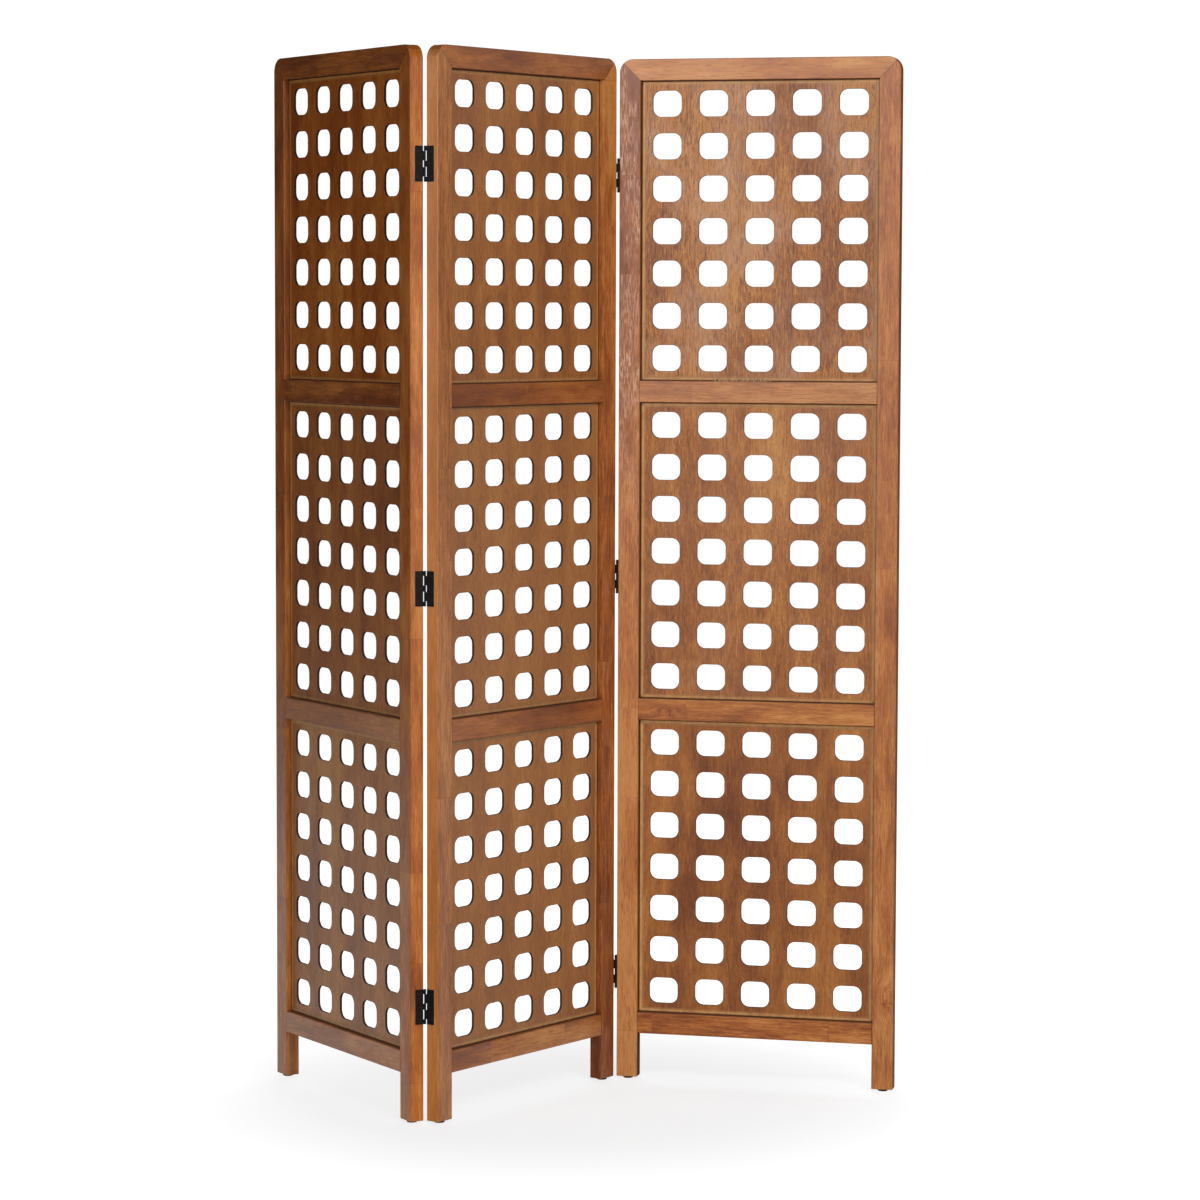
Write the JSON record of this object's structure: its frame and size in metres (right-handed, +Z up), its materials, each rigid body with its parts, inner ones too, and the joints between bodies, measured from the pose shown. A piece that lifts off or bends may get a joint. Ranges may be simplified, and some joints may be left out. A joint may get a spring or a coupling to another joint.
{
  "type": "folding screen",
  "caption": "Folding screen of hinged wooden panels standing in a zigzag. Each frame, mitred at the top, holds thin boards pierced with a grid of rounded openings, above short legs.",
  "frame": {"origin": "on the floor, at the middle of the outline of the screen as it stands in the picture", "axes": "+Z up, +X to the right and +Y away from the viewer of the picture"},
  "size_m": [1.1098, 0.447, 1.829],
  "materials": {
    "frame_wood": "stained fine-grained hardwood under a thin semi-satin lacquer, lightly mottled",
    "board_wood": "stained plywood with an upright fine-pored grain, darker on the cut edges of the openings",
    "dowel_wood": "bare beech",
    "black_steel": "satin black coating on sheet steel",
    "glide_plastic": "dark brown moulded plastic",
    "nail_steel": "bright drawn steel"
  },
  "bodies": {
    "left_panel": {"left_bottom_hinge_left_leaf": "black_steel", "left_bottom_hinge_pin": "black_steel", "left_middle_hinge_left_leaf": "black_steel", "left_middle_hinge_pin": "black_steel", "left_panel_bottom_rail": "frame_wood", "left_panel_dowels": "dowel_wood", "left_panel_glide_nails": "nail_steel", "left_panel_hinge_screws": "black_steel", "left_panel_left_glide": "glide_plastic", "left_panel_left_stile": "frame_wood", "left_panel_lower_board": "board_wood", "left_panel_lower_rail": "frame_wood", "left_panel_middle_board": "board_wood", "left_panel_right_glide": "glide_plastic", "left_panel_right_stile": "frame_wood", "left_panel_top_rail": "frame_wood", "left_panel_upper_board": "board_wood", "left_panel_upper_rail": "frame_wood", "left_top_hinge_left_leaf": "black_steel"},
    "middle_panel": {"left_bottom_hinge_right_leaf": "black_steel", "left_middle_hinge_right_leaf": "black_steel", "left_top_hinge_pin": "black_steel", "left_top_hinge_right_leaf": "black_steel", "middle_panel_bottom_rail": "frame_wood", "middle_panel_dowels": "dowel_wood", "middle_panel_glide_nails": "nail_steel", "middle_panel_hinge_screws": "black_steel", "middle_panel_left_glide": "glide_plastic", "middle_panel_left_stile": "frame_wood", "middle_panel_lower_board": "board_wood", "middle_panel_lower_rail": "frame_wood", "middle_panel_middle_board": "board_wood", "middle_panel_right_glide": "glide_plastic", "middle_panel_right_stile": "frame_wood", "middle_panel_top_rail": "frame_wood", "middle_panel_upper_board": "board_wood", "middle_panel_upper_rail": "frame_wood", "right_bottom_hinge_left_leaf": "black_steel", "right_middle_hinge_left_leaf": "black_steel", "right_top_hinge_left_leaf": "black_steel"},
    "right_panel": {"right_bottom_hinge_pin": "black_steel", "right_bottom_hinge_right_leaf": "black_steel", "right_middle_hinge_pin": "black_steel", "right_middle_hinge_right_leaf": "black_steel", "right_panel_bottom_rail": "frame_wood", "right_panel_dowels": "dowel_wood", "right_panel_glide_nails": "nail_steel", "right_panel_hinge_screws": "black_steel", "right_panel_left_glide": "glide_plastic", "right_panel_left_stile": "frame_wood", "right_panel_lower_board": "board_wood", "right_panel_lower_rail": "frame_wood", "right_panel_middle_board": "board_wood", "right_panel_right_glide": "glide_plastic", "right_panel_right_stile": "frame_wood", "right_panel_top_rail": "frame_wood", "right_panel_upper_board": "board_wood", "right_panel_upper_rail": "frame_wood", "right_top_hinge_pin": "black_steel", "right_top_hinge_right_leaf": "black_steel"}
  },
  "joints": [
    {"name": "left_fold", "type": "hinge", "parent": "middle_panel", "child": "left_panel", "pos_m": [-0.27132, -0.20927, 0], "axis": [0, 0, -1], "range_deg": [-112, 68]},
    {"name": "right_fold", "type": "hinge", "parent": "middle_panel", "child": "right_panel", "pos_m": [0.05786, 0.17939, 0], "axis": [0, 0, -1], "range_deg": [-67.5, 112.5]}
  ]
}
